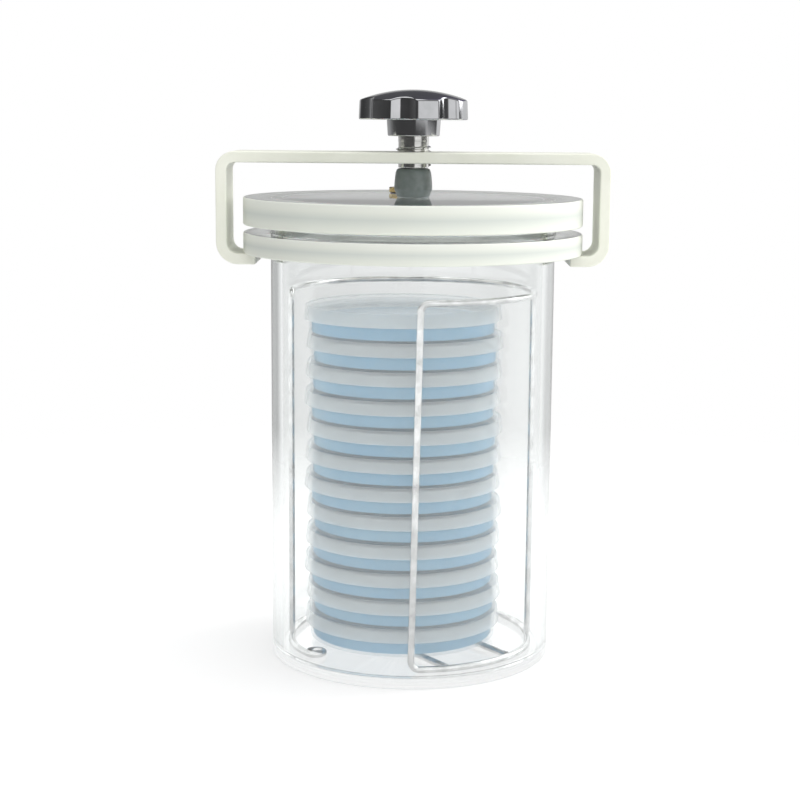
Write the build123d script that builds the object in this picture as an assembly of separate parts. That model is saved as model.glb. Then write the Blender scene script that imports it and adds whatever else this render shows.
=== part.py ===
from build123d import *
import math
import os

# Anaerobic culture jar with a screw clamp, a wire rack and a stack of twelve culture dishes.
# All lengths are in millimetres. The jar stands on z = 0, its axis is Z and its front faces -Y.
# The sizes grow outwards: the dishes set the rack, the rack sets the tube, the tube sets the rim.

# Culture dishes: a base with a layer of medium and a shallow lid, twelve of them in a stack
dish_count = 12
dish_height = 12.95
dish_wall = 1.2
dish_lid_diameter = 91.6
dish_lid_draft = 0.8
dish_lid_skirt = 6.0
dish_lid_clearance = 0.3
medium_depth = 5.8
stack_offset_x = -3.7
stack_wander_x = 0.6
stack_wander_y = 0.4
stack_wander_step_x = 2.1
stack_wander_step_y = 1.4

# Wire rack round the stack: a base ring with two cross wires, three uprights and a top ring
rack_wire_diameter = 3.0
rack_dish_clearance = 8.7
rack_above_stack = 6.4
rack_rest_gap = 0.2
rack_bend_radius = 4.0
rack_front_angle = -89.4
rack_front_lean = 3.0
rack_left_angle = 184.0
rack_right_angle = -3.0
rack_open_angle = 217.0
rack_eye_radius = 3.4
rack_eye_turn = 285.0
rack_weld_angle = 1.3
cross_wire_spacing = 33.0
cross_wire_angle = 125.0

# Jar body round the rack: a clear tube on a base plate, with a thick flange ring round its mouth
tube_wall = 5.0
tube_rack_clearance = 2.5
tube_above_rack = 29.2
base_thickness = 5.0
base_edge_chamfer = 0.8
flange_width = 12.5
flange_thickness = 9.4
rim_above_flange = 2.4
rim_edge_chamfer = 0.7

# Lid: a clear disc as wide as the flange ring, with a flat seal in a groove of its underside
lid_thickness = 12.4
seal_thickness = 2.5
seal_overhang = 0.7
seal_groove_depth = 1.5
seal_groove_clearance = 0.2

# Vent: a brass bush with a hexagonal head, closed by a thumb screw, behind the clamp
vent_x = -5.0
vent_y = 44.0
vent_shank_diameter = 8.0
vent_hex_across_flats = 13.0
vent_hex_height = 2.2
vent_hex_chamfer = 0.6
vent_passage_diameter = 1.6
vent_washer_thickness = 0.5
vent_washer_margin = 0.5
vent_screw_diameter = 4.0
vent_screw_reach = 8.0
vent_screw_clearance = 0.05
vent_thumb_diameter = 6.4
vent_thumb_height = 4.5
vent_thumb_slot_width = 0.8
vent_thumb_slot_depth = 1.0

# Clamp: a flat bar bent to a yoke that hooks under the flange on both sides
yoke_bar_thickness = 5.0
yoke_depth = 30.0
yoke_side_clearance = 6.3
yoke_top_bend_radius = 3.5
yoke_hook_bend_radius = 5.0
hook_tube_clearance = 6.0

# Clamp screw: a threaded spindle, drawn at its outer thread diameter, with a turned nose
thread_diameter = 16.0
thread_clearance = 0.05
thread_end_chamfer = 1.0
relief_depth = 1.0
relief_length = 2.7
knob_stroke = 7.1
stud_step = 1.0
stud_length = 12.0
nose_diameter = 9.0
nose_clearance = 0.05
nose_length = 9.2
shoulder_gap = 0.3

# Retaining ring that holds the pressure foot on the nose of the spindle
snap_ring_thickness = 1.0
snap_ring_play = 0.15
snap_ring_bite = 0.9
snap_ring_seat_depth = 1.0
snap_ring_height = 4.6
snap_ring_gap_angle = 50.0

# Pressure foot: a moulded cap, barrel shaped, that presses on the lid
foot_height = 13.1
foot_headroom = 2.4
foot_base_radius = 7.3
foot_widest_radius = 8.7
foot_widest_height = 4.0
foot_shoulder_radius = 8.0
foot_top_chamfer = 1.3

# Star knob: seven lobes under a shallow dome, with a short tapered hub
knob_diameter = 50.0
knob_lobes = 7
knob_first_lobe_angle = -75.0
knob_valley_radius = 7.5
knob_valley_depth = 3.2
knob_lobe_round = 3.0
knob_rim_height = 8.7
knob_dome_rise = 4.8
knob_bottom_chamfer = 0.6
knob_hub_diameter = 24.6
knob_hub_height = 7.3
knob_hub_draft = 0.5

# Radii that follow from the sizes above, from the dishes outwards
wire_radius = rack_wire_diameter / 2
dish_lid_radius = dish_lid_diameter / 2
dish_lid_top_radius = dish_lid_radius - dish_lid_draft
dish_base_radius = dish_lid_top_radius - dish_wall - dish_lid_clearance
rack_ring_radius = dish_lid_radius + rack_dish_clearance + wire_radius
bore_radius = rack_ring_radius + wire_radius + tube_rack_clearance
tube_radius = bore_radius + tube_wall
rim_radius = tube_radius + flange_width
arm_inner_x = rim_radius + yoke_side_clearance
thread_radius = thread_diameter / 2
relief_radius = thread_radius - relief_depth
stud_radius = relief_radius - stud_step

# Heights that follow, from the base plate up to the knob
rack_low_z = base_thickness + rack_rest_gap + wire_radius
stack_bottom_z = rack_low_z + wire_radius
rack_high_z = stack_bottom_z + dish_count * dish_height + rack_above_stack
mouth_z = rack_high_z + tube_above_rack
flange_top_z = mouth_z - rim_above_flange
flange_bottom_z = flange_top_z - flange_thickness
lid_bottom_z = mouth_z + seal_thickness - seal_groove_depth
lid_top_z = lid_bottom_z + lid_thickness
foot_top_z = lid_top_z + foot_height
bar_bottom_z = foot_top_z + foot_headroom
bar_top_z = bar_bottom_z + yoke_bar_thickness
hub_bottom_z = bar_top_z + knob_stroke
knob_rim_bottom_z = hub_bottom_z + knob_hub_height


def turned(points):
    """Solid of revolution about Z from a closed outline of (radius, height) points."""
    outline = Plane.XZ * make_face(Polyline(*points, close=True))
    return revolve(outline, axis=Axis.Z, revolution_arc=360)


def ring(outer_radius, inner_radius, bottom, height):
    """Plain ring with flat faces."""
    disc = Circle(outer_radius) - Circle(inner_radius)
    return extrude(Pos(0, 0, bottom) * disc, height)


def at_angle(radius, degrees, height=0.0):
    """Point on an upright cylinder."""
    turn = math.radians(degrees)
    return Vector(radius * math.cos(turn), radius * math.sin(turn), height)


def along_ring(degrees, clockwise=False):
    """Direction of travel round the axis at an angle."""
    return at_angle(1.0, degrees - 90 if clockwise else degrees + 90)


# Jar body

def make_base_plate():
    c = base_edge_chamfer
    return turned([
        (0, 0), (tube_radius - c, 0), (tube_radius, c), (tube_radius, base_thickness),
        (0, base_thickness),
    ])


def make_jar_tube():
    return ring(tube_radius, bore_radius, base_thickness, mouth_z - base_thickness)


def make_flange_ring():
    c = rim_edge_chamfer
    return turned([
        (tube_radius, flange_bottom_z), (rim_radius - c, flange_bottom_z),
        (rim_radius, flange_bottom_z + c), (rim_radius, flange_top_z - c),
        (rim_radius - c, flange_top_z), (tube_radius, flange_top_z),
    ])


# Lid, seal and vent

seal_inner_radius = bore_radius - seal_overhang
seal_outer_radius = tube_radius
vent_place = Pos(vent_x, vent_y, 0)


def make_lid_plate():
    c = rim_edge_chamfer
    groove_inner = seal_inner_radius - seal_groove_clearance
    groove_outer = seal_outer_radius + seal_groove_clearance
    groove_top = lid_bottom_z + seal_groove_depth
    disc = turned([
        (0, lid_bottom_z), (groove_inner, lid_bottom_z), (groove_inner, groove_top),
        (groove_outer, groove_top), (groove_outer, lid_bottom_z), (rim_radius - c, lid_bottom_z),
        (rim_radius, lid_bottom_z + c), (rim_radius, lid_top_z - c), (rim_radius - c, lid_top_z),
        (0, lid_top_z),
    ])
    hole = vent_place * Pos(0, 0, lid_bottom_z) * Circle(vent_shank_diameter / 2)
    return disc - extrude(hole, lid_thickness)


def make_lid_seal():
    return ring(seal_outer_radius, seal_inner_radius, mouth_z, seal_thickness)


vent_hex_bottom_z = lid_top_z + vent_washer_thickness
vent_hex_top_z = vent_hex_bottom_z + vent_hex_height
vent_screw_bottom_z = vent_hex_top_z - vent_screw_reach


def make_vent_washer():
    outer = vent_hex_across_flats / 2 - vent_washer_margin
    return vent_place * ring(outer, vent_shank_diameter / 2, lid_top_z, vent_washer_thickness)


def make_vent_body():
    flat = vent_hex_across_flats / 2
    corner = flat / math.cos(math.pi / 6)
    hexagon = RegularPolygon(corner, 6)
    head = extrude(Pos(0, 0, vent_hex_bottom_z) * Rot(0, 0, 30) * hexagon, vent_hex_height)
    crown = turned([
        (0, vent_hex_bottom_z), (corner, vent_hex_bottom_z), (corner, vent_hex_top_z - vent_hex_chamfer),
        (flat, vent_hex_top_z), (0, vent_hex_top_z),
    ])
    shank_length = vent_hex_bottom_z - lid_bottom_z
    shank = extrude(Pos(0, 0, lid_bottom_z) * Circle(vent_shank_diameter / 2), shank_length)
    body = (head & crown) + shank
    screw_hole = Circle(vent_screw_diameter / 2 + vent_screw_clearance)
    body -= extrude(Pos(0, 0, vent_screw_bottom_z) * screw_hole, vent_screw_reach)
    passage = Pos(0, 0, lid_bottom_z) * Circle(vent_passage_diameter / 2)
    body -= extrude(passage, vent_screw_bottom_z - lid_bottom_z)
    return vent_place * body


def make_vent_screw():
    thumb_radius = vent_thumb_diameter / 2
    thumb_top_z = vent_hex_top_z + vent_thumb_height
    slot_bottom_z = thumb_top_z - vent_thumb_slot_depth
    shank = extrude(Pos(0, 0, vent_screw_bottom_z) * Circle(vent_screw_diameter / 2), vent_screw_reach)
    thumb = extrude(Pos(0, 0, vent_hex_top_z) * Circle(thumb_radius), vent_thumb_height)
    slot = Pos(0, 0, slot_bottom_z) * Rectangle(vent_thumb_diameter, vent_thumb_slot_width)
    return vent_place * (shank + thumb - extrude(slot, vent_thumb_slot_depth))


# Clamp: yoke, spindle, foot and knob

def make_clamp_yoke():
    outer_x = arm_inner_x + yoke_bar_thickness
    hook_end_x = tube_radius + hook_tube_clearance
    hook_bottom_z = flange_bottom_z - yoke_bar_thickness
    outer_hook_radius = yoke_hook_bend_radius + yoke_bar_thickness
    outer_top_radius = yoke_top_bend_radius + yoke_bar_thickness

    def bent(x, low, high, hook_radius, top_radius):
        lower = Line((hook_end_x, low), (x - hook_radius, low))
        hook = RadiusArc((x - hook_radius, low), (x, low + hook_radius), -hook_radius)
        arm = Line((x, low + hook_radius), (x, high - top_radius))
        corner = RadiusArc((x, high - top_radius), (x - top_radius, high), -top_radius)
        bar = Line((x - top_radius, high), (0, high))
        return [lower, hook, arm, corner, bar]

    outside = bent(outer_x, hook_bottom_z, bar_top_z, outer_hook_radius, outer_top_radius)
    inside = bent(arm_inner_x, flange_bottom_z, bar_bottom_z, yoke_hook_bend_radius, yoke_top_bend_radius)
    hook_end = Line((hook_end_x, hook_bottom_z), (hook_end_x, flange_bottom_z))
    middle = Line((0, bar_bottom_z), (0, bar_top_z))
    half = Plane.XZ * make_face([*outside, *inside, hook_end, middle])
    side = extrude(half, yoke_depth / 2, both=True)
    yoke = side + mirror(side, about=Plane.YZ)
    hole = extrude(Pos(0, 0, bar_bottom_z) * Circle(thread_radius + thread_clearance), yoke_bar_thickness)
    return yoke - hole


nose_bottom_z = foot_top_z + shoulder_gap - nose_length
nose_radius = nose_diameter / 2
snap_groove_bottom_z = nose_bottom_z + snap_ring_height
snap_ring_bottom_z = snap_groove_bottom_z + snap_ring_play
socket_radius = nose_radius + nose_clearance
snap_ring_inner_radius = nose_radius - snap_ring_bite + snap_ring_play
snap_ring_outer_radius = socket_radius + snap_ring_seat_depth


def make_spindle():
    groove_radius = nose_radius - snap_ring_bite
    groove_top_z = snap_groove_bottom_z + snap_ring_thickness + 2 * snap_ring_play
    shoulder_z = foot_top_z + shoulder_gap
    relief_z = hub_bottom_z - relief_length
    stud_top_z = hub_bottom_z + stud_length
    c = thread_end_chamfer
    return turned([
        (0, nose_bottom_z), (nose_radius, nose_bottom_z), (nose_radius, snap_groove_bottom_z),
        (groove_radius, snap_groove_bottom_z), (groove_radius, groove_top_z), (nose_radius, groove_top_z),
        (nose_radius, shoulder_z), (thread_radius - c, shoulder_z), (thread_radius, shoulder_z + c),
        (thread_radius, relief_z - c), (relief_radius, relief_z), (relief_radius, hub_bottom_z),
        (stud_radius, hub_bottom_z), (stud_radius, stud_top_z), (0, stud_top_z),
    ])


def make_pressure_foot():
    z = lid_top_z
    ring_top_z = snap_ring_bottom_z + snap_ring_thickness
    return turned([
        (0, z), (foot_base_radius, z), (foot_widest_radius, z + foot_widest_height),
        (foot_shoulder_radius, foot_top_z - foot_top_chamfer),
        (foot_shoulder_radius - foot_top_chamfer, foot_top_z), (socket_radius, foot_top_z),
        (socket_radius, ring_top_z), (snap_ring_outer_radius, ring_top_z),
        (snap_ring_outer_radius, snap_ring_bottom_z), (socket_radius, snap_ring_bottom_z),
        (socket_radius, nose_bottom_z), (0, nose_bottom_z),
    ])


def make_foot_snap_ring():
    whole = Circle(snap_ring_outer_radius) - Circle(snap_ring_inner_radius)
    reach = 2 * snap_ring_outer_radius
    half_gap = math.radians(snap_ring_gap_angle / 2)
    wedge = make_face(Polyline(
        (0, 0), (reach * math.cos(half_gap), reach * math.sin(half_gap)),
        (reach * math.cos(half_gap), -reach * math.sin(half_gap)), close=True,
    ))
    return extrude(Pos(0, 0, snap_ring_bottom_z) * (whole - wedge), snap_ring_thickness)


def make_knob():
    radius = knob_diameter / 2
    low = knob_rim_bottom_z
    high = low + knob_rim_height
    top = high + knob_dome_rise
    dome_radius = (radius ** 2 + knob_dome_rise ** 2) / (2 * knob_dome_rise)
    star = Circle(radius)
    valley = Circle(knob_valley_radius)
    valley_centre = radius - knob_valley_depth + knob_valley_radius
    first_valley = knob_first_lobe_angle + 180 / knob_lobes
    for index in range(knob_lobes):
        place = at_angle(valley_centre, first_valley + index * 360 / knob_lobes)
        star -= Pos(place.X, place.Y, 0) * valley
    star = fillet(star.vertices(), knob_lobe_round)
    grip = extrude(Pos(0, 0, low) * star, top - low)
    c = knob_bottom_chamfer
    sides = Polyline((0, top), (0, low), (radius - c, low), (radius, low + c), (radius, high))
    dome = RadiusArc((radius, high), (0, top), -dome_radius)
    cheese = revolve(Plane.XZ * make_face([sides, dome]), axis=Axis.Z, revolution_arc=360)
    hub_radius = knob_hub_diameter / 2
    hub = turned([
        (0, hub_bottom_z), (hub_radius - knob_hub_draft, hub_bottom_z), (hub_radius, low), (0, low),
    ])
    stud_hole = extrude(Pos(0, 0, hub_bottom_z) * Circle(stud_radius), stud_length)
    return (grip & cheese) + hub - stud_hole


# Wire rack

def bend(start, along, towards):
    """Bend of the rack wire from one direction into another, and the point where it ends."""
    half_turn = math.radians(along.get_angle(towards)) / 2
    reach = rack_bend_radius * math.tan(half_turn)
    inward = (towards - along).normalized() * (rack_bend_radius / math.cos(half_turn) - rack_bend_radius)
    end = start + (along + towards) * reach
    return ThreePointArc(start, start + along * reach + inward, end), end


def wire_piece(edge):
    """Round wire along one line or arc."""
    section = Plane(origin=edge @ 0, z_dir=edge % 0) * Circle(wire_radius)
    if edge.geom_type == GeomType.LINE:
        return extrude(section, edge.length)
    axle = Axis(edge.arc_center, (edge @ 0 - edge.arc_center).cross(edge % 0))
    return revolve(section, axis=axle, revolution_arc=math.degrees(edge.length / edge.radius))


def wire_solid(edges):
    """One bent wire along a chain of lines and arcs."""
    first, *others = [wire_piece(edge) for edge in edges]
    return first.fuse(*others)


bend_angle = math.degrees(rack_bend_radius / rack_ring_radius)
up = Vector(0, 0, 1)
down = Vector(0, 0, -1)


def make_rack_spine_wire():
    """Eye, base ring, front upright and the front quarter of the top ring, bent from one wire."""
    foot_turn = rack_front_angle + bend_angle
    head_turn = foot_turn + rack_front_lean
    eye_centre = at_angle(rack_ring_radius - rack_eye_radius, rack_open_angle, rack_low_z)
    eye = CenterArc(eye_centre, rack_eye_radius, rack_open_angle + rack_eye_turn, -rack_eye_turn)
    base_ring = CenterArc((0, 0, rack_low_z), rack_ring_radius, rack_open_angle, foot_turn - rack_open_angle)
    foot_start = at_angle(rack_ring_radius, foot_turn, rack_low_z)
    head_end = at_angle(rack_ring_radius, head_turn, rack_high_z)
    rise = up
    for _ in range(6):
        foot_bend, upright_start = bend(foot_start, along_ring(foot_turn, clockwise=True), rise)
        head_bend, upright_end = bend(head_end, along_ring(head_turn, clockwise=True), rise * -1)
        rise = (upright_end - upright_start).normalized()
    upright = Line(upright_start, upright_end)
    weld_turn = rack_right_angle - rack_weld_angle
    quarter = CenterArc((0, 0, rack_high_z), rack_ring_radius, head_turn, weld_turn - head_turn)
    return wire_solid([eye, base_ring, foot_bend, upright, head_bend, quarter])


def make_rack_arch_wire():
    """Left upright, back half of the top ring and right upright, bent from one wire."""
    left_turn = rack_left_angle - bend_angle
    right_turn = rack_right_angle + bend_angle
    left_head = at_angle(rack_ring_radius, left_turn, rack_high_z)
    right_head = at_angle(rack_ring_radius, right_turn, rack_high_z)
    left_bend, left_top = bend(left_head, along_ring(left_turn), down)
    right_bend, right_top = bend(right_head, along_ring(right_turn, clockwise=True), down)
    foot_z = rack_low_z + wire_radius
    left_upright = Line(Vector(left_top.X, left_top.Y, foot_z), left_top)
    right_upright = Line(right_top, Vector(right_top.X, right_top.Y, foot_z))
    back = CenterArc((0, 0, rack_high_z), rack_ring_radius, left_turn, right_turn - left_turn)
    return wire_solid([left_upright, left_bend, back, right_bend, right_upright])


def make_rack_cross_wires():
    """Two parallel wires that carry the stack, welded inside the base ring."""
    offset = cross_wire_spacing / 2
    inside = rack_ring_radius - wire_radius
    half_length = math.sqrt(inside ** 2 - (offset + wire_radius) ** 2)
    rod = Cylinder(wire_radius, 2 * half_length, rotation=(0, 90, 0))
    turn = Pos(0, 0, rack_low_z) * Rot(0, 0, cross_wire_angle)
    return [turn * Pos(0, side * offset, 0) * rod for side in (-1, 1)]


# Culture dishes

def dish_place(index):
    """Each dish stands on the one below, a little to one side of it."""
    x = stack_offset_x + stack_wander_x * math.sin(stack_wander_step_x * index)
    y = stack_wander_y * math.cos(stack_wander_step_y * index)
    return Pos(x, y, stack_bottom_z + index * dish_height)


def make_dish_base():
    radius = dish_base_radius
    rim_z = dish_height - dish_wall
    return turned([
        (0, 0), (radius, 0), (radius, rim_z), (radius - dish_wall, rim_z),
        (radius - dish_wall, dish_wall), (0, dish_wall),
    ])


def make_dish_medium():
    medium = Circle(dish_base_radius - dish_wall)
    return extrude(Pos(0, 0, dish_wall) * medium, medium_depth)


def make_dish_lid():
    low_radius = dish_lid_radius
    high_radius = dish_lid_top_radius
    low = dish_height - dish_lid_skirt
    inner_z = dish_height - dish_wall
    return turned([
        (0, inner_z), (high_radius - dish_wall, inner_z), (low_radius - dish_wall, low),
        (low_radius, low), (high_radius, dish_height), (0, dish_height),
    ])


# Writing the sub-parts

def save(name, shape):
    """Write one node, which holds one solid or a group of separate solids."""
    solids = shape if isinstance(shape, list) else [shape]
    group = Compound([solid for part in solids for solid in part.solids()])
    export_step(group, os.path.join("parts", name + ".step"))


def main():
    os.makedirs("parts", exist_ok=True)
    save("base_plate", make_base_plate())
    save("jar_tube", make_jar_tube())
    save("flange_ring", make_flange_ring())
    save("lid_plate", make_lid_plate())
    save("lid_seal", make_lid_seal())
    save("vent_washer", make_vent_washer())
    save("vent_body", make_vent_body())
    save("vent_screw", make_vent_screw())
    save("clamp_yoke", make_clamp_yoke())
    save("pressure_foot", make_pressure_foot())
    save("foot_snap_ring", make_foot_snap_ring())
    save("spindle", make_spindle())
    save("knob", make_knob())
    save("rack_spine_wire", make_rack_spine_wire())
    save("rack_arch_wire", make_rack_arch_wire())
    save("rack_cross_wires", make_rack_cross_wires())
    dish_base = make_dish_base()
    dish_medium = make_dish_medium()
    dish_lid = make_dish_lid()
    for index in range(dish_count):
        number = f"{index + 1:02d}"
        save("dish_base_" + number, dish_place(index) * dish_base)
        save("dish_medium_" + number, dish_place(index) * dish_medium)
        save("dish_lid_" + number, dish_place(index) * dish_lid)


main()
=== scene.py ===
# %% [markdown]
# An anaerobic jar: a clear cylinder with a thick lid, held shut by a bent clamp and a star knob,
# with a wire rack of twelve culture dishes inside.
#
# The construction comes ready made, at its real size. This lesson dresses it: each piece gets the
# rounded edges, threads and finishes of the real one, and stays where the construction says.
# Blender works in metres, so a millimetre is written as a number times mm.

# %% Load the construction
import math
import bpy
from mathutils import Matrix, Vector


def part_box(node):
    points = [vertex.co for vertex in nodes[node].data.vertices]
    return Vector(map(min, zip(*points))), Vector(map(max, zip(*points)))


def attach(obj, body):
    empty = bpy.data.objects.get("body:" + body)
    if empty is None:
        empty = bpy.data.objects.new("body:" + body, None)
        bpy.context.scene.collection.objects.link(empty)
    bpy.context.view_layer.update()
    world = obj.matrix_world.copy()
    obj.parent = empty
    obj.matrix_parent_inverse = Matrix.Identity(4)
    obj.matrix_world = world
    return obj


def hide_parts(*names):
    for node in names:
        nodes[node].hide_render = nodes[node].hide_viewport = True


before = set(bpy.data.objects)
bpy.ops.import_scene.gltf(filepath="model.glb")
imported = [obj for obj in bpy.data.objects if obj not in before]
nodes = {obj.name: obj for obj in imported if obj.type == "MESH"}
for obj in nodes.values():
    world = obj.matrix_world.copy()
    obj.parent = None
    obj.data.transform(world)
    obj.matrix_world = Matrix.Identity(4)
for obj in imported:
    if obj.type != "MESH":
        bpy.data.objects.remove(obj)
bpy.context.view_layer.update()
mm = 0.001

# %% [markdown]
# The jar stands on the world's origin with its axis upright, so most sizes can be read from the
# boxes of its nodes: a radius is half a width, and a height is a top or a bottom.

# %% Read sizes from the nodes
def low_z(node):
    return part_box(node)[0].z


def high_z(node):
    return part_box(node)[1].z


def radius_of(node):
    low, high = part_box(node)
    return (high.x - low.x) / 2


rim_radius = radius_of("flange_ring")
flange_width = 12.5 * mm
tube_radius = rim_radius - flange_width
tube_wall = 5 * mm
print("Tube radius", round(tube_radius / mm, 2), "mm, rim radius", round(rim_radius / mm, 2), "mm")

# %% [markdown]
# The camera stands where the photographer stood: a little above the lid, tipped down by nine and a
# half degrees, with a long lens that keeps the uprights nearly parallel. The jar leans a touch to
# the right in the picture, so the camera is rolled by under half a degree. The small shift puts the
# jar right of the middle, as it is in the picture.

# %% Place the camera
camera_distance = 790.5 * mm
camera_height = 250.1 * mm
camera_pitch = math.radians(9.45)
camera_roll = 0.008
lens_pixels = 1718.6
picture_pixels = 800
axis_pixel = 411.56

camera_data = bpy.data.cameras.new("photo_camera")
camera = bpy.data.objects.new("photo_camera", camera_data)
bpy.context.scene.collection.objects.link(camera)
camera_data.sensor_width = 36
camera_data.lens = camera_data.sensor_width * lens_pixels / picture_pixels
camera_data.shift_x = (picture_pixels / 2 - axis_pixel) / picture_pixels
tilt = Matrix.Rotation(math.pi / 2 - camera_pitch, 4, "X") @ Matrix.Rotation(camera_roll, 4, "Z")
camera.matrix_world = Matrix.Translation((0, -camera_distance, camera_height)) @ tilt
bpy.context.scene.camera = camera
bpy.context.scene.view_settings.view_transform = "Standard"
print("Lens", round(camera_data.lens, 2), "mm, shift", round(camera_data.shift_x, 5))

# %% [markdown]
# A room or a finish is a net of shader nodes. Placed by hand they are easy to read, but in a script
# each one takes several lines. Three short helpers keep the nets below about as long as they look.

# %% Wire up nodes with one short call each
def add_node(tree, kind, inputs=None, **settings):
    """A node with its settings, and its sockets set to values or linked to other sockets."""
    node = tree.nodes.new(kind)
    for name, value in settings.items():
        setattr(node, name, value)
    for name, value in (inputs or {}).items():
        if isinstance(value, bpy.types.NodeSocket):
            tree.links.new(value, node.inputs[name])
        else:
            node.inputs[name].default_value = value
    return node


def ramp(tree, source, *stops):
    """A colour ramp over (position, colour) stops; a colour may be one grey number."""
    node = add_node(tree, "ShaderNodeValToRGB", {"Fac": source})
    elements = node.color_ramp.elements
    elements[0].position = stops[0][0]
    elements[1].position = stops[-1][0]
    for position, _ in stops[1:-1]:
        elements.new(position)
    for element, (_, colour) in zip(elements, stops):
        element.color = (*colour, 1) if isinstance(colour, tuple) else (colour, colour, colour, 1)
    return node.outputs["Color"]


def maths(tree, operation, first, second=0.0):
    return add_node(tree, "ShaderNodeMath", {0: first, 1: second}, operation=operation).outputs[0]


print("Node helpers ready")

# %% [markdown]
# Clear plastic has no look of its own: it shows what stands round it. The room is therefore part of
# the finish, and it looks different to each kind of ray, as a studio with screens and flags does.
# The camera meets a plain white backdrop. Through the plastic it meets a backdrop that is a light
# grey behind the jar and bright elsewhere. Mirror reflections meet a dark side and a few windows,
# which draw the bands on the knob. Plain surfaces are lit softly, and more from the right.

# %% Build the room
def build_room():
    world = bpy.data.worlds.new("studio")
    bpy.context.scene.world = world
    world.use_nodes = True
    tree = world.node_tree
    tree.nodes.clear()
    direction = add_node(tree, "ShaderNodeTexCoord").outputs["Generated"]
    parts = add_node(tree, "ShaderNodeSeparateXYZ", {0: direction}).outputs
    turn = maths(tree, "ARCTAN2", parts["X"], parts["Y"])
    share = maths(tree, "ADD", maths(tree, "DIVIDE", turn, 2 * math.pi), 0.5)

    def blend(factor, low, high):
        mix = add_node(tree, "ShaderNodeMix", {"Factor": factor}, data_type="RGBA")
        for socket, colour in ((6, low), (7, high)):
            if isinstance(colour, tuple):
                mix.inputs[socket].default_value = (*colour, 1)
            else:
                tree.links.new(colour, mix.inputs[socket])
        return mix.outputs[2]

    # share runs round the horizon: 0 in front, 0.25 at the left, 0.5 behind, 0.75 at the right
    # mirrors see a pale wall behind and two windows at the right, with the table under and a ceiling over
    level = ramp(tree, share, (0.0, 0.07), (0.14, 0.06), (0.27, 0.12), (0.36, 0.42), (0.5, 0.5),
                 (0.60, 0.85), (0.66, 0.9), (0.68, 0.1), (0.82, 0.08), (0.85, 1.0), (0.97, 1.0),
                 (0.98, 0.07))
    under = ramp(tree, share, (0.0, 0.07), (0.25, 0.07), (0.36, 0.4), (0.6, 0.75), (0.83, 0.7),
                 (0.86, 0.12), (1.0, 0.07))
    over = ramp(tree, share, (0.3, (0.08, 0.08, 0.08)), (0.5, (0.1, 0.1, 0.11)),
                (0.62, (0.17, 0.15, 0.24)), (0.8, (0.3, 0.3, 0.3)))
    height = maths(tree, "ADD", maths(tree, "MULTIPLY", parts["Z"], 0.5), 0.5)
    mirrored = blend(ramp(tree, height, (0.43, 0.0), (0.46, 1.0)), under, level)
    mirrored = blend(ramp(tree, height, (0.60, 0.0), (0.66, 1.0)), mirrored, over)
    lit = ramp(tree, share, (0.0, 0.46), (0.25, 0.22), (0.5, 0.46), (0.75, 0.85), (1.0, 0.46))
    behind = ramp(tree, share, (0.36, 0.8), (0.42, 0.26), (0.5, 0.42), (0.58, 0.36), (0.66, 0.8))
    screen = ramp(tree, height, (0.30, 0.0), (0.34, 1.0), (0.52, 1.0), (0.60, 0.0))
    through = blend(screen, (0.8, 0.8, 0.8), behind)

    path = add_node(tree, "ShaderNodeLightPath").outputs

    def light(colour, strength):
        return add_node(tree, "ShaderNodeBackground", {"Color": colour, "Strength": strength}).outputs[0]

    def choose(ray, other, chosen):
        return add_node(tree, "ShaderNodeMixShader", {0: path[ray], 1: other, 2: chosen}).outputs[0]

    room = choose("Is Glossy Ray", light(lit, 2.0), light(mirrored, 1.0))
    room = choose("Is Transmission Ray", room, light(through, 2.0))
    room = choose("Is Camera Ray", room, light((1, 1, 1, 1), 1.0))
    add_node(tree, "ShaderNodeOutputWorld", {"Surface": room})
    return world


print("Room:", build_room().name)

# %% [markdown]
# The floor is a wide white table, lit a little from below as a light table is, so that light also
# rises through the clear base. It fades out into the backdrop, so it has no edge, and still takes
# the jar's soft shadow. Two area lamps give the light a direction without making it harder.

# %% Add the floor and the lamps
def build_floor(radius=1.6):
    bpy.ops.object.select_all(action="DESELECT")
    bpy.ops.mesh.primitive_circle_add(vertices=96, radius=radius, fill_type="NGON")
    floor = bpy.context.object
    floor.name = "studio_floor"
    material = bpy.data.materials.new("studio_floor")
    material.use_nodes = True
    tree = material.node_tree
    tree.nodes.clear()
    place = add_node(tree, "ShaderNodeTexCoord").outputs["Object"]
    distance = add_node(tree, "ShaderNodeVectorMath", {0: place}, operation="LENGTH").outputs["Value"]
    fade = ramp(tree, distance, (0.28, 0.0), (0.6, 1.0))
    paper = add_node(tree, "ShaderNodeBsdfDiffuse", {"Color": (0.5, 0.5, 0.5, 1)})
    glow = add_node(tree, "ShaderNodeEmission", {"Color": (1, 1, 1, 1), "Strength": 0.55})
    table = add_node(tree, "ShaderNodeAddShader", {0: paper.outputs[0], 1: glow.outputs[0]})
    gone = add_node(tree, "ShaderNodeBsdfTransparent")
    mix = add_node(tree, "ShaderNodeMixShader", {0: fade, 1: table.outputs[0], 2: gone.outputs[0]})
    add_node(tree, "ShaderNodeOutputMaterial", {"Surface": mix.outputs[0]})
    floor.data.materials.append(material)
    return floor


def add_lamp(name, place, target, size, power):
    data = bpy.data.lights.new(name, "AREA")
    data.shape = "RECTANGLE"
    data.size, data.size_y = size
    data.energy = power
    lamp = bpy.data.objects.new(name, data)
    bpy.context.scene.collection.objects.link(lamp)
    lamp.location = place
    lamp.rotation_euler = (Vector(target) - Vector(place)).to_track_quat("-Z", "Y").to_euler()
    return lamp


build_floor()
jar_middle = (0, 0, 0.13)
add_lamp("window_right", (0.9, 0.35, 0.7), jar_middle, (0.5, 0.9), 4.5)
add_lamp("sky_above", (-0.2, -0.1, 1.3), jar_middle, (0.9, 0.9), 3.0)
print("Floor and lamps in place")

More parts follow.
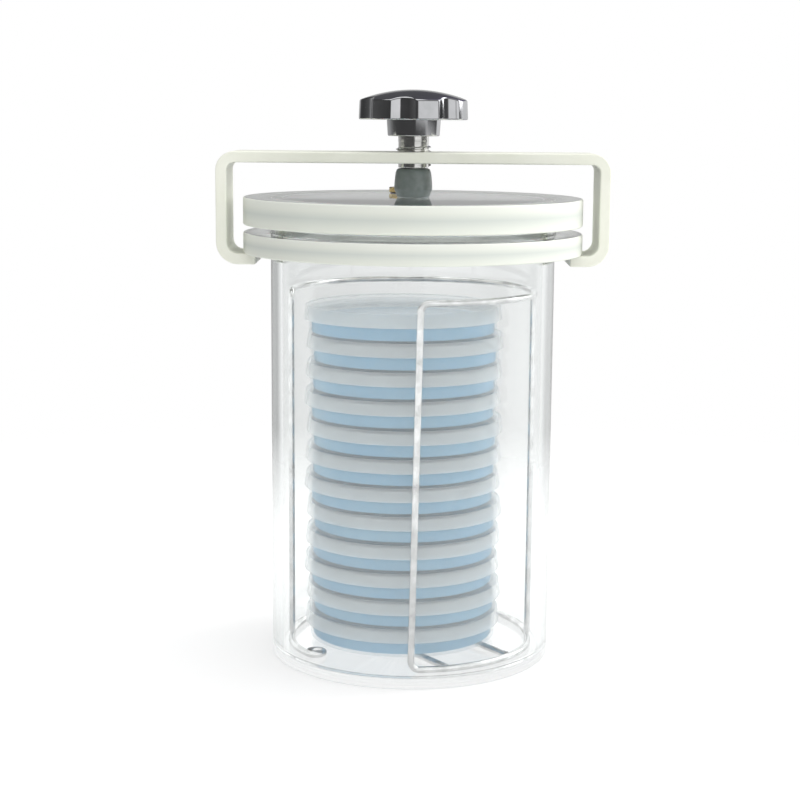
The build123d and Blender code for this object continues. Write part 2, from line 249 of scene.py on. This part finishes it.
# %% [markdown]
# Most pieces of the jar are turned or moulded round an axis, so one helper makes them as a lathe
# would. A plane is merged to a single point, the point is extruded along the outline, and the
# outline is spun a full turn. Sharp corners are rounded afterwards by a bevel, because no moulded
# or machined edge is perfectly sharp, and the round edge is what catches the light.

# %% Turn and soften pieces
def begin_piece(name):
    """Start a piece as a small plane, with all of it selected in edit mode."""
    bpy.ops.object.select_all(action="DESELECT")
    bpy.ops.mesh.primitive_plane_add(size=mm)
    piece = bpy.context.object
    piece.name = name
    bpy.ops.object.mode_set(mode="EDIT")
    bpy.ops.mesh.select_all(action="SELECT")
    return piece


def trace(points):
    """Merge what is selected to one point, and extrude it along a chain of points in millimetres."""
    bpy.ops.mesh.merge(type="CENTER")
    bpy.ops.transform.translate(value=Vector(points[0]) * mm)
    for start, end in zip(points, points[1:]):
        step = (Vector(end) - Vector(start)) * mm
        bpy.ops.mesh.extrude_region_move(TRANSFORM_OT_translate={"value": step})
    bpy.ops.mesh.select_all(action="SELECT")


def close_up(tolerance=0.0005 * mm):
    """Merge doubles, turn the faces outwards and leave edit mode."""
    bpy.ops.mesh.select_all(action="SELECT")
    bpy.ops.mesh.remove_doubles(threshold=tolerance)
    bpy.ops.mesh.normals_make_consistent(inside=False)
    bpy.ops.object.mode_set(mode="OBJECT")


def lathe(name, outline, steps=180):
    """Spin an outline of (radius, height) points in millimetres. A ring's outline ends where it starts."""
    piece = begin_piece(name)
    trace([(radius, 0, height) for radius, height in outline])
    bpy.ops.mesh.spin(steps=steps, angle=2 * math.pi, center=(0, 0, 0), axis=(0, 0, 1))
    close_up()
    return piece


def make_active(piece):
    bpy.ops.object.select_all(action="DESELECT")
    piece.select_set(True)
    bpy.context.view_layer.objects.active = piece


def apply_modifier(piece, kind, **settings):
    make_active(piece)
    modifier = piece.modifiers.new(kind.lower(), kind)
    for name, value in settings.items():
        setattr(modifier, name, value)
    bpy.ops.object.modifier_apply(modifier=modifier.name)


def shade_evenly(piece):
    """Shade smooth, with the wide faces ruling the narrow ones beside them, so that they stay flat."""
    make_active(piece)
    bpy.ops.object.shade_smooth_by_angle(angle=math.radians(35))
    apply_modifier(piece, "WEIGHTED_NORMAL", mode="FACE_AREA", weight=100, keep_sharp=True)


def soften(piece, width, segments=3, corner=30):
    """Round the corners sharper than an angle."""
    apply_modifier(piece, "BEVEL", width=width * mm, segments=segments, limit_method="ANGLE",
                   angle_limit=math.radians(corner))


def finish_piece(piece, body, slot, material, *replaced):
    """Give a piece its body, its finish and the nodes it stands for; the slot is not used."""
    shade_evenly(piece)
    piece.data.materials.clear()
    piece.data.materials.append(material)
    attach(piece, body)
    if replaced:
        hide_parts(*replaced)
    print(piece.name, len(piece.data.polygons), "faces")
    return piece


# %% [markdown]
# Every finish starts from the same shader and reads the piece's own coordinates, so a pattern stays
# on its piece. Plastic and metal are never perfectly even: a little noise moves the roughness and
# tilts the surface by a hair, which breaks up reflections that would look drawn.

# %% Start a finish
def start_finish(name, **sockets):
    """A material with one main shader, its constants set, and the coordinates of its piece."""
    material = bpy.data.materials.new(name)
    material.use_nodes = True
    tree = material.node_tree
    shader = tree.nodes["Principled BSDF"]
    for socket, value in sockets.items():
        shader.inputs[socket.replace("_", " ")].default_value = value
    place = add_node(tree, "ShaderNodeTexCoord").outputs["Object"]
    return material, tree, shader, place


def grain(tree, place, scale, detail=3.0, stretch=(1, 1, 1)):
    """Noise of so many waves a metre, stretched along an axis where the surface was drawn or turned."""
    mapped = add_node(tree, "ShaderNodeMapping", {"Vector": place, "Scale": stretch}).outputs[0]
    return add_node(tree, "ShaderNodeTexNoise",
                    {"Vector": mapped, "Scale": scale, "Detail": detail}).outputs["Fac"]


def vary(tree, source, low, high, start=0.0, end=1.0):
    """Map a source that runs from start to end onto the range from low to high."""
    return add_node(tree, "ShaderNodeMapRange", {
        "Value": source, "From Min": start, "From Max": end, "To Min": low, "To Max": high}).outputs[0]


def relief(tree, shader, height, distance, strength=1.0):
    bump = add_node(tree, "ShaderNodeBump", {"Height": height, "Distance": distance, "Strength": strength})
    tree.links.new(bump.outputs[0], shader.inputs["Normal"])


def blend_colour(tree, shader, source, low, high):
    tree.links.new(ramp(tree, source, (0.3, low), (0.7, high)), shader.inputs["Base Color"])


def use_roughness(tree, shader, source, low, high):
    tree.links.new(vary(tree, source, low, high), shader.inputs["Roughness"])


print("Finish helpers ready")

# %% [markdown]
# The jar itself is cut from clear acrylic. A thin sheet looks colourless, but its edge looks grey
# green, because there the light has gone through centimetres of plastic. An absorbing volume gives
# that by itself: the longer the way through the piece, the deeper the tint. The tube is drawn and
# a little wavy, and the sheet is cast and flat. The rims of lid and flange are sawn and sanded, so
# they are milky for less than a millimetre, and clear behind that.
# Halfway up these milky rims a duller band of painted shade is laid into the colour.

# %% Make the clear acrylics
acrylic_ior = 1.49


def clear_plastic(name, tint, density, waves, wave_height):
    """Clear plastic that tints light by depth, with so many waves a metre of a height in millimetres."""
    material, tree, shader, place = start_finish(
        name, Base_Color=(1, 1, 1, 1), Transmission_Weight=1.0, IOR=acrylic_ior, Roughness=0.0)
    use_roughness(tree, shader, grain(tree, place, 45), 0.0, 0.035)
    relief(tree, shader, grain(tree, place, waves, detail=1.0, stretch=(1, 1, 0.35)), wave_height * mm)
    depth = add_node(tree, "ShaderNodeVolumeAbsorption", {"Color": (*tint, 1), "Density": density})
    output = tree.nodes["Material Output"]
    tree.links.new(depth.outputs[0], output.inputs["Volume"])
    return material


milky_depth = 0.5 * mm
clear_depth = 0.9 * mm
sawn_transmission = 0.12
sawn_roughness = 0.45


def frost_edge(material, node):
    """Make the sawn and sanded rim of a round sheet milky, with a duller band of painted shade halfway up.
    """
    tree = material.node_tree
    shader = tree.nodes["Principled BSDF"]
    place = add_node(tree, "ShaderNodeTexCoord").outputs["Object"]
    height = add_node(tree, "ShaderNodeSeparateXYZ", {0: place}).outputs["Z"]
    flat = add_node(tree, "ShaderNodeVectorMath", {0: place, 1: (1, 1, 0)}, operation="MULTIPLY").outputs[0]
    reach = add_node(tree, "ShaderNodeVectorMath", {0: flat}, operation="LENGTH").outputs["Value"]
    sawn = vary(tree, reach, 0, 1, rim_radius - clear_depth, rim_radius - milky_depth)
    level = vary(tree, height, 0, 1, low_z(node), high_z(node))
    # painted shade: the milky rim colour turns to a duller grey green halfway up the rim and is a little
    # lighter at the top
    milky_with_painted_shade = ramp(tree, level, (0.0, (0.86, 0.885, 0.80)), (0.25, (0.80, 0.83, 0.76)),
                 (0.5, (0.68, 0.72, 0.67)), (0.75, (0.84, 0.865, 0.79)), (1.0, (0.9, 0.92, 0.85)))
    colour = add_node(tree, "ShaderNodeMix", {"Factor": sawn}, data_type="RGBA")
    colour.inputs[6].default_value = (1, 1, 1, 1)
    tree.links.new(milky_with_painted_shade, colour.inputs[7])
    tree.links.new(colour.outputs[2], shader.inputs["Base Color"])
    tree.links.new(vary(tree, sawn, 1.0, sawn_transmission), shader.inputs["Transmission Weight"])
    rough = shader.inputs["Roughness"].links[0].from_socket
    sanded = add_node(tree, "ShaderNodeMath", {0: sawn, 1: sawn_roughness, 2: rough},
                      operation="MULTIPLY_ADD")
    tree.links.new(sanded.outputs[0], shader.inputs["Roughness"])


tube_acrylic = clear_plastic("drawn_acrylic_tube", (0.52, 0.66, 0.64), 14.0, 18, 0.10)
lid_acrylic = clear_plastic("cast_acrylic_lid", (0.62, 0.76, 0.70), 6.0, 12, 0.03)
frost_edge(lid_acrylic, "lid_plate")
flange_acrylic = clear_plastic("cast_acrylic_flange", (0.62, 0.76, 0.70), 6.0, 12, 0.03)
frost_edge(flange_acrylic, "flange_ring")
base_acrylic = clear_plastic("cast_acrylic_base", (0.50, 0.72, 0.74), 5.0, 12, 0.03)
print("Acrylics:", tube_acrylic.name, lid_acrylic.name, flange_acrylic.name, base_acrylic.name)

# %% [markdown]
# The base plate, the tube and the flange ring are cemented face to face. In a cemented joint the
# light passes as if the plastic went on, so each of these pieces reaches a fiftieth of a
# millimetre into the next: with faces that only touch, a ray can't tell which one it meets first.

# %% Turn the jar body
cement = 0.02
outside = tube_radius / mm
bore = outside - tube_wall / mm
rim = rim_radius / mm
base_top = high_z("base_plate") / mm
mouth = high_z("jar_tube") / mm
flange_low = low_z("flange_ring") / mm
flange_high = high_z("flange_ring") / mm

base_piece = lathe("clear_base_plate", [
    (0, 0), (outside, 0), (outside, base_top + cement), (0, base_top + cement),
], steps=240)
soften(base_piece, 0.7)
finish_piece(base_piece, "jar", "clear_acrylic", base_acrylic, "base_plate")

tube_piece = lathe("clear_tube", [
    (bore, base_top), (outside, base_top), (outside, mouth), (bore, mouth), (bore, base_top),
], steps=240)
soften(tube_piece, 0.25)
finish_piece(tube_piece, "jar", "clear_acrylic", tube_acrylic, "jar_tube")

flange_piece = lathe("clear_flange", [
    (outside - cement, flange_low), (rim, flange_low), (rim, flange_high),
    (outside - cement, flange_high), (outside - cement, flange_low),
], steps=240)
soften(flange_piece, 0.8)
finish_piece(flange_piece, "jar", "clear_acrylic", flange_acrylic, "flange_ring")

# %% [markdown]
# The lid is a disc cut from the same sheet as the flange, with a groove in its underside. A soft
# white ring lies in the groove and on the rim of the tube. The hole for the vent is cut with a
# boolean, as a drill would.

# %% Turn the lid and its seal
def cut(piece, cutter):
    apply_modifier(piece, "BOOLEAN", operation="DIFFERENCE", object=cutter, solver="EXACT")
    bpy.data.objects.remove(cutter)


drill_overshoot = 2


def drill(piece, radius, x, y, low, high):
    """Drill an upright hole through a piece that reaches from low to high."""
    depth = high - low + 2 * drill_overshoot
    bpy.ops.object.select_all(action="DESELECT")
    bpy.ops.mesh.primitive_cylinder_add(vertices=64, radius=radius * mm, depth=depth * mm,
                                        location=(x * mm, y * mm, (low + high) / 2 * mm))
    cut(piece, bpy.context.object)


lid_low = low_z("lid_plate") / mm
lid_high = high_z("lid_plate") / mm
seal_low = low_z("lid_seal") / mm
seal_high = high_z("lid_seal") / mm
seal_outer = outside
seal_lip = 0.7
seal_inner = bore - seal_lip
groove_room = 0.2
vent_low, vent_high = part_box("vent_body")
vent_x = (vent_low.x + vent_high.x) / 2 / mm
vent_y = (vent_low.y + vent_high.y) / 2 / mm
vent_shank = 4.0
play = 0.05

lid_piece = lathe("clear_lid", [
    (0, lid_low), (seal_inner - groove_room, lid_low), (seal_inner - groove_room, seal_high),
    (seal_outer + groove_room, seal_high), (seal_outer + groove_room, lid_low), (rim, lid_low),
    (rim, lid_high), (0, lid_high),
], steps=240)
soften(lid_piece, 0.8)
drill(lid_piece, vent_shank + play, vent_x, vent_y, lid_low, lid_high)
finish_piece(lid_piece, "lid", "clear_acrylic", lid_acrylic, "lid_plate")

material, tree, shader, place = start_finish(
    "white_silicone", Base_Color=(0.86, 0.88, 0.85, 1), Roughness=0.42, Subsurface_Weight=0.3,
    Subsurface_Scale=0.002, Specular_IOR_Level=0.4)
blend_colour(tree, shader, grain(tree, place, 160), (0.82, 0.84, 0.81), (0.88, 0.90, 0.87))
use_roughness(tree, shader, grain(tree, place, 700), 0.36, 0.5)
relief(tree, shader, grain(tree, place, 1500), 0.03 * mm)
seal_piece = lathe("lid_seal_ring", [
    (seal_inner, seal_low), (seal_outer, seal_low), (seal_outer, seal_high - cement),
    (seal_inner, seal_high - cement), (seal_inner, seal_low),
], steps=180)
soften(seal_piece, 0.35)
finish_piece(seal_piece, "lid", "silicone_seal", material, "lid_seal")

# %% [markdown]
# The vent behind the clamp is a small turned brass fitting on a black washer. The construction's own
# pieces have the right shape, so they only get a finish: brass goes brown where hands touch it, and
# turning leaves fine rings round the upright axis.

# %% Finish the vent
def finish_node(material, *names):
    for name in names:
        nodes[name].data.materials.clear()
        nodes[name].data.materials.append(material)
    print(material.name, "on", len(names), "nodes")


material, tree, shader, place = start_finish("turned_brass", Metallic=1.0, Roughness=0.28)
blend_colour(tree, shader, grain(tree, place, 220), (0.56, 0.36, 0.17), (0.80, 0.62, 0.33))
use_roughness(tree, shader, grain(tree, place, 900, stretch=(0.2, 0.2, 3)), 0.18, 0.38)
relief(tree, shader, grain(tree, place, 2500, stretch=(0.1, 0.1, 3)), 0.02 * mm)
finish_node(material, "vent_body", "vent_screw")

material, tree, shader, place = start_finish("black_washer", Roughness=0.6)
blend_colour(tree, shader, grain(tree, place, 900), (0.02, 0.02, 0.02), (0.05, 0.05, 0.05))
relief(tree, shader, grain(tree, place, 3000), 0.02 * mm)
finish_node(material, "vent_washer")

# %% [markdown]
# The clamp is one flat bar, bent four times. It is modelled the way it is made: the section of the
# bar is drawn once, run straight, and spun round the centre of each bend. Only the right half is
# made, and a mirror gives the other. The bar is powder coated, so its edges are soft, and the coat
# has the fine orange peel that such coats have.

# %% Bend the clamp bar
clamp_low, clamp_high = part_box("clamp_yoke")
bar_thickness = 5.0
bar_high = clamp_high.z / mm
bar_low = bar_high - bar_thickness
bar_depth = (clamp_high.y - clamp_low.y) / mm
arm_outer = clamp_high.x / mm
hook_low = clamp_low.z / mm
hook_gap = 6.0
hook_end = outside + hook_gap
top_bend = 3.5
hook_bend = 5.0
screw_hole = 8.05
on_axis = 0.01 * mm


def run_straight(x, z):
    bpy.ops.mesh.extrude_region_move(TRANSFORM_OT_translate={"value": (x * mm, 0, z * mm)})


def bend_round(x, z, steps=10):
    bpy.ops.mesh.spin(steps=steps, angle=-math.pi / 2, center=(x * mm, 0, z * mm), axis=(0, 1, 0))


def bend_clamp():
    inner_x = arm_outer - bar_thickness
    piece = begin_piece("bent_clamp_bar")
    bpy.ops.transform.resize(value=(bar_thickness, bar_depth, 1))
    bpy.ops.transform.rotate(value=math.pi / 2, orient_axis="Y", center_override=(0, 0, 0))
    bpy.ops.transform.translate(value=(0, 0, (bar_low + bar_high) / 2 * mm))
    run_straight(inner_x - top_bend, 0)
    bend_round(inner_x - top_bend, bar_low - top_bend)
    run_straight(0, hook_low + bar_thickness + hook_bend - (bar_low - top_bend))
    bend_round(inner_x - hook_bend, hook_low + bar_thickness + hook_bend)
    run_straight(hook_end - (inner_x - hook_bend), 0)
    bpy.ops.mesh.select_all(action="DESELECT")
    bpy.ops.object.mode_set(mode="OBJECT")
    for face in piece.data.polygons:
        face.select = all(abs(piece.data.vertices[v].co.x) < on_axis for v in face.vertices)
    bpy.ops.object.mode_set(mode="EDIT")
    bpy.ops.mesh.delete(type="FACE")
    bpy.ops.object.mode_set(mode="OBJECT")
    apply_modifier(piece, "MIRROR", use_axis=(True, False, False), merge_threshold=on_axis)
    bpy.ops.object.mode_set(mode="EDIT")
    close_up()
    soften(piece, 0.7, segments=4)
    drill(piece, screw_hole, 0, 0, bar_low, bar_high)
    return piece


material, tree, shader, place = start_finish("cream_powder_coat", Roughness=0.38, Coat_Weight=0.15,
                                             Coat_Roughness=0.25)
blend_colour(tree, shader, grain(tree, place, 60, detail=5), (0.86, 0.875, 0.76), (0.92, 0.93, 0.83))
use_roughness(tree, shader, grain(tree, place, 500), 0.32, 0.46)
relief(tree, shader, grain(tree, place, 900, detail=2), 0.035 * mm)
clamp_piece = finish_piece(bend_clamp(), "clamp", "cream_powder_coat", material, "clamp_yoke")
print("Clamp", [round(v / mm, 1) for v in clamp_piece.dimensions], "mm")

# %% [markdown]
# The clamp screw is a turned core with a rolled thread. The core is a lathe outline. The thread is
# one ridge: a small trapezium, carried round and up by the Screw modifier, two millimetres a turn.

# %% Cut the clamp screw
spindle_low = low_z("spindle") / mm
spindle_high = high_z("spindle") / mm
hub_low = low_z("knob") / mm
thread_radius = radius_of("spindle") / mm
thread_depth = 1.1
thread_root = thread_radius - thread_depth
thread_pitch = 2.0
ridge_foot = 1.9
crest_low = 0.8
crest_high = 1.1
ridge_sunk = 0.3
foot_gap = 0.3
shoulder = high_z("pressure_foot") / mm + foot_gap
thread_start = shoulder + 0.3
relief_height = 2.7
relief_low = hub_low - relief_height
relief_radius = 7.0
relief_cone = 0.4
into_hub = 0.2
nose = 4.5
stud = 6.0


def cut_thread(turns):
    piece = begin_piece("thread_ridge")
    inside = thread_root - ridge_sunk
    ridge = [(inside, 0), (thread_radius, crest_low), (thread_radius, crest_high), (inside, ridge_foot),
             (inside, 0)]
    trace([(radius, 0, thread_start + rise) for radius, rise in ridge])
    bpy.ops.mesh.remove_doubles(threshold=0.0005 * mm)
    bpy.ops.object.mode_set(mode="OBJECT")
    apply_modifier(piece, "SCREW", steps=48, render_steps=48, angle=2 * math.pi * turns,
                   screw_offset=thread_pitch * turns * mm, iterations=1, axis="Z")
    bpy.ops.object.mode_set(mode="EDIT")
    bpy.ops.mesh.select_all(action="SELECT")
    bpy.ops.mesh.fill_holes(sides=6)
    close_up()
    return piece


def join(pieces, name):
    make_active(pieces[0])
    for piece in pieces:
        piece.select_set(True)
    bpy.ops.object.join()
    pieces[0].name = name
    return pieces[0]


core = lathe("clamp_screw_core", [
    (0, spindle_low), (nose, spindle_low), (nose, shoulder), (thread_root, shoulder),
    (thread_root, relief_low), (relief_radius, relief_low + relief_cone),
    (relief_radius, hub_low + into_hub), (stud, hub_low + into_hub), (stud, spindle_high),
    (0, spindle_high),
], steps=96)
soften(core, 0.25, segments=2)
thread_turns = int((relief_low - shoulder - ridge_foot) / thread_pitch)
screw_piece = join([core, cut_thread(thread_turns)], "clamp_screw")

material, tree, shader, place = start_finish("bright_plated_thread", Metallic=1.0, Roughness=0.16)
blend_colour(tree, shader, grain(tree, place, 180), (0.66, 0.66, 0.64), (0.86, 0.86, 0.84))
use_roughness(tree, shader, grain(tree, place, 1200, stretch=(0.4, 0.4, 2)), 0.10, 0.24)
relief(tree, shader, grain(tree, place, 1800, stretch=(0.2, 0.2, 2)), 0.01 * mm)
finish_piece(screw_piece, "screw", "plated_steel", material, "spindle")
print("Thread turns:", thread_turns)

# %% [markdown]
# The foot is a moulded cap, a little barrel shaped, that turns freely on the nose of the screw and
# doesn't turn on the lid. Its dark plastic has the satin grain of the mould. The outline is given as
# radius and height over the lid up the side, then as radius and depth under the top.

# %% Mould the pressure foot
foot_low = low_z("pressure_foot") / mm
foot_high = high_z("pressure_foot") / mm
socket = nose + play
socket_floor = spindle_low - play
foot_side = [(7.1, 0.0), (7.5, 0.5), (8.5, 3.2), (8.7, 4.2), (8.6, 6.5), (8.3, 9.6), (8.05, 11.3)]
foot_crown = [(7.55, 0.55), (6.6, 0.0)]
foot_piece = lathe("pressure_foot_cap", [
    (0, foot_low),
    *[(radius, foot_low + rise) for radius, rise in foot_side],
    *[(radius, foot_high - drop) for radius, drop in foot_crown],
    (socket, foot_high), (socket, socket_floor), (0, socket_floor),
], steps=96)
soften(foot_piece, 0.3, segments=3, corner=35)
material, tree, shader, place = start_finish("grey_moulded_plastic", Roughness=0.34, Coat_Weight=0.2,
                                             Coat_Roughness=0.2)
blend_colour(tree, shader, grain(tree, place, 300), (0.17, 0.20, 0.19), (0.22, 0.25, 0.24))
use_roughness(tree, shader, grain(tree, place, 900), 0.28, 0.42)
relief(tree, shader, grain(tree, place, 2600), 0.02 * mm)
finish_piece(foot_piece, "foot", "grey_foot_plastic", material, "pressure_foot")

material, tree, shader, place = start_finish("oiled_spring_steel", Metallic=1.0, Roughness=0.3)
blend_colour(tree, shader, grain(tree, place, 500), (0.18, 0.18, 0.19), (0.34, 0.34, 0.36))
finish_node(material, "foot_snap_ring")

# %% [markdown]
# The knob is a seven pointed star under a shallow dome. It starts as a circle of many points. Each
# point is pulled in where a valley is, by a smooth minimum of the rim and the valley's own circle,
# and the star is then extruded up in stages, the last ones shrinking to the dome's top.

# %% Shape the star knob
knob_radius = 25.0
knob_lobes = 7
first_lobe = math.radians(-75)
valley_radius = 7.5
valley_depth = 3.2
valley_centre = knob_radius - valley_depth + valley_radius
lobe_blend = 1.1
hub_height = 7.3
knob_low = hub_low + hub_height
side_taper = 0.985
knob_top = high_z("knob") / mm
dome_rise = 4.8
knob_shoulder = knob_top - dome_rise
dome_radius = (knob_radius ** 2 + dome_rise ** 2) / (2 * dome_rise)
hub_radius = 12.3
hub_flare = 0.5
into_knob = 0.3


def star_radius(angle):
    """Distance from the axis to the side of the star, at an angle."""
    sector = 2 * math.pi / knob_lobes
    off = (angle - first_lobe) % sector - sector / 2
    reach = valley_radius ** 2 - (valley_centre * math.sin(off)) ** 2
    if reach <= 0:
        return knob_radius
    valley = valley_centre * math.cos(off) - math.sqrt(reach)
    overlap = max(lobe_blend - abs(knob_radius - valley), 0) / lobe_blend
    return min(knob_radius, valley) - overlap ** 2 * lobe_blend / 4


def dome_height(radius):
    return knob_top - dome_radius + math.sqrt(dome_radius ** 2 - radius ** 2)


def stage_up(rise, scale=1.0):
    bpy.ops.mesh.extrude_region_move(TRANSFORM_OT_translate={"value": (0, 0, rise * mm)})
    bpy.ops.transform.resize(value=(scale, scale, 1), center_override=(0, 0, 0))


def shape_knob(points=420, dome_stages=10):
    bpy.ops.object.select_all(action="DESELECT")
    bpy.ops.mesh.primitive_circle_add(vertices=points, radius=knob_radius * mm, fill_type="NGON")
    piece = bpy.context.object
    bpy.ops.object.mode_set(mode="EDIT")
    bpy.ops.mesh.select_all(action="SELECT")
    bpy.ops.transform.translate(value=(0, 0, knob_low * mm))
    bpy.ops.object.mode_set(mode="OBJECT")
    bpy.ops.object.transform_apply(location=True, rotation=True, scale=True)
    for vertex in piece.data.vertices:
        radius = star_radius(math.atan2(vertex.co.y, vertex.co.x))
        flat = Vector((vertex.co.x, vertex.co.y)).normalized() * radius * mm
        vertex.co.x, vertex.co.y = flat
    bpy.ops.object.mode_set(mode="EDIT")
    bpy.ops.mesh.select_all(action="SELECT")
    stage_up(knob_shoulder - knob_low, side_taper)
    for stage in range(1, dome_stages):
        share = 1 - stage / dome_stages
        stage_up(0.05, share / (share + 1 / dome_stages))
    bpy.ops.object.mode_set(mode="OBJECT")
    for vertex in piece.data.vertices:
        if vertex.co.z > (knob_shoulder - 0.01) * mm:
            vertex.co.z = dome_height(Vector((vertex.co.x, vertex.co.y)).length / mm) * mm
    bpy.ops.object.mode_set(mode="EDIT")
    close_up()
    soften(piece, 0.7, segments=4, corner=40)
    return piece


hub = lathe("knob_hub", [
    (stud + play, hub_low), (hub_radius - hub_flare, hub_low), (hub_radius, knob_low + into_knob),
    (stud + play, knob_low + into_knob), (stud + play, hub_low),
], steps=128)
soften(hub, 0.5)
knob_piece = join([shape_knob(), hub], "star_knob")

material, tree, shader, place = start_finish("polished_dark_chrome", Metallic=1.0, Roughness=0.07)
blend_colour(tree, shader, grain(tree, place, 90), (0.50, 0.51, 0.52), (0.62, 0.62, 0.64))
use_roughness(tree, shader, grain(tree, place, 400), 0.04, 0.13)
relief(tree, shader, grain(tree, place, 120, detail=1), 0.02 * mm)
finish_piece(knob_piece, "screw", "chrome_knob", material, "knob")

# %% [markdown]
# The rack is bent from three millimetre stainless wire. The construction's own wires have every
# bend, so they stay and get the finish of drawn wire: bright, with fine lines, and a little darker
# where the drawing left a film.

# %% Finish the rack
material, tree, shader, place = start_finish("drawn_stainless_wire", Metallic=1.0, Roughness=0.2)
blend_colour(tree, shader, grain(tree, place, 140), (0.50, 0.50, 0.50), (0.72, 0.72, 0.72))
use_roughness(tree, shader, grain(tree, place, 900), 0.12, 0.26)
relief(tree, shader, grain(tree, place, 2200), 0.012 * mm)
finish_node(material, "rack_spine_wire", "rack_arch_wire", "rack_cross_wires")

# %% [markdown]
# A culture dish is two shallow cups of clear polystyrene, moulded so thin that they bend light very
# little. The base holds a layer of blue medium, and the lid hangs over it with a skirt. The lid has
# a low ring round its top, which keeps the next dish from sliding off. One dish is modelled, and
# the other eleven are copies with meshes of their own, moved to where the stack puts them.

# %% Mould one dish
dish_low = low_z("dish_base_01") / mm
dish_radius = 43.5
dish_rim = high_z("dish_base_01") / mm
dish_wall = 1.2
dish_lid_low = low_z("dish_lid_01") / mm
dish_lid_high = high_z("dish_lid_01") / mm
dish_lid_radius = radius_of("dish_lid_01") / mm
dish_lid_draft = 0.8
medium_high = high_z("dish_medium_01") / mm
air = 0.03
stack_ring_height = 0.35
stack_ring_width = 0.7
stack_ring_slope = 0.2
medium_hollow = 0.5
meniscus = [(0.0, 0.0), (0.5, 0.25), (1.4, 0.45)]


def mould_dish_base():
    inside = dish_radius - dish_wall
    piece = lathe("dish_base", [
        (0, dish_low + air), (dish_radius, dish_low + air), (dish_radius, dish_rim - air),
        (inside, dish_rim - air), (inside, dish_low + dish_wall), (0, dish_low + dish_wall),
    ], steps=160)
    soften(piece, 0.35)
    return piece


def mould_dish_lid():
    top_radius = dish_lid_radius - dish_lid_draft
    ceiling = dish_lid_high - dish_wall
    piece = lathe("dish_lid", [
        (0, ceiling), (top_radius - dish_wall, ceiling), (dish_lid_radius - dish_wall, dish_lid_low),
        (dish_lid_radius, dish_lid_low), (top_radius, dish_lid_high + stack_ring_height),
        (top_radius - stack_ring_width, dish_lid_high + stack_ring_height),
        (top_radius - stack_ring_width - stack_ring_slope, dish_lid_high), (0, dish_lid_high),
    ], steps=160)
    soften(piece, 0.3)
    return piece


def pour_medium():
    inside = dish_radius - dish_wall + cement
    floor = dish_low + dish_wall - cement
    piece = lathe("blue_medium", [
        (0, floor), (inside, floor),
        *[(inside - inward, medium_high - drop) for inward, drop in meniscus],
        (0, medium_high - medium_hollow),
    ], steps=160)
    soften(piece, 0.1, segments=2)
    return piece


print("Dish", 2 * dish_radius, "mm wide, its lid", round(2 * dish_lid_radius, 1), "mm")

# %% [markdown]
# Polystyrene this thin could be true glass, but a ray would then cross dozens of walls in the stack
# and run out of bounces, and the stack would go dark. So the dishes veil what is behind them by a
# plain share instead, and keep their gloss. The medium is a soft gel with a wet top: mostly its own
# blue, with a little light going through.

# %% Make the dish finishes
def dish_plastic(name, veil, smooth, rough):
    material, tree, shader, place = start_finish(
        name, Base_Color=(0.93, 0.98, 1.0, 1), Alpha=veil, Roughness=0.08)
    use_roughness(tree, shader, grain(tree, place, 70), smooth, rough)
    relief(tree, shader, grain(tree, place, 60, detail=1), 0.02 * mm)
    return material


lid_plastic = dish_plastic("clear_polystyrene_lid", 0.35, 0.04, 0.10)
base_plastic = dish_plastic("clear_polystyrene_base", 0.25, 0.05, 0.12)

blue_gel, tree, shader, place = start_finish("blue_gel", Transmission_Weight=0.3, IOR=1.34, Roughness=0.12)
blend_colour(tree, shader, grain(tree, place, 30), (0.33, 0.68, 0.97), (0.42, 0.76, 1.0))
use_roughness(tree, shader, grain(tree, place, 150), 0.06, 0.2)
relief(tree, shader, grain(tree, place, 90, detail=1), 0.05 * mm)
print("Dish finishes:", lid_plastic.name, base_plastic.name, blue_gel.name)

# %% [markdown]
# The stack is twelve dishes high. Each copy gets a mesh of its own, moved to the middle of its node,
# so that every dish can be told apart and keeps its place in its mesh.

# %% Stack twelve of them
dish_count = 12


def stack_copies(first, kind, node_kind, slot, material):
    lowest = low_z(f"{node_kind}_01")
    for number in range(1, dish_count + 1):
        node = f"{node_kind}_{number:02d}"
        low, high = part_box(node)
        move = ((low.x + high.x) / 2, (low.y + high.y) / 2, low.z - lowest)
        piece = first.copy()
        piece.data = first.data.copy()
        piece.data.transform(Matrix.Translation(move))
        piece.name = f"{kind}_{number:02d}"
        bpy.context.scene.collection.objects.link(piece)
        finish_piece(piece, "rack", slot, material, node)
    bpy.data.objects.remove(first)
    print(dish_count, "copies of", kind)


stack_copies(mould_dish_base(), "culture_dish_base", "dish_base", "clear_polystyrene", base_plastic)
stack_copies(mould_dish_lid(), "culture_dish_lid", "dish_lid", "clear_polystyrene", lid_plastic)
stack_copies(pour_medium(), "medium_layer", "dish_medium", "blue_medium", blue_gel)
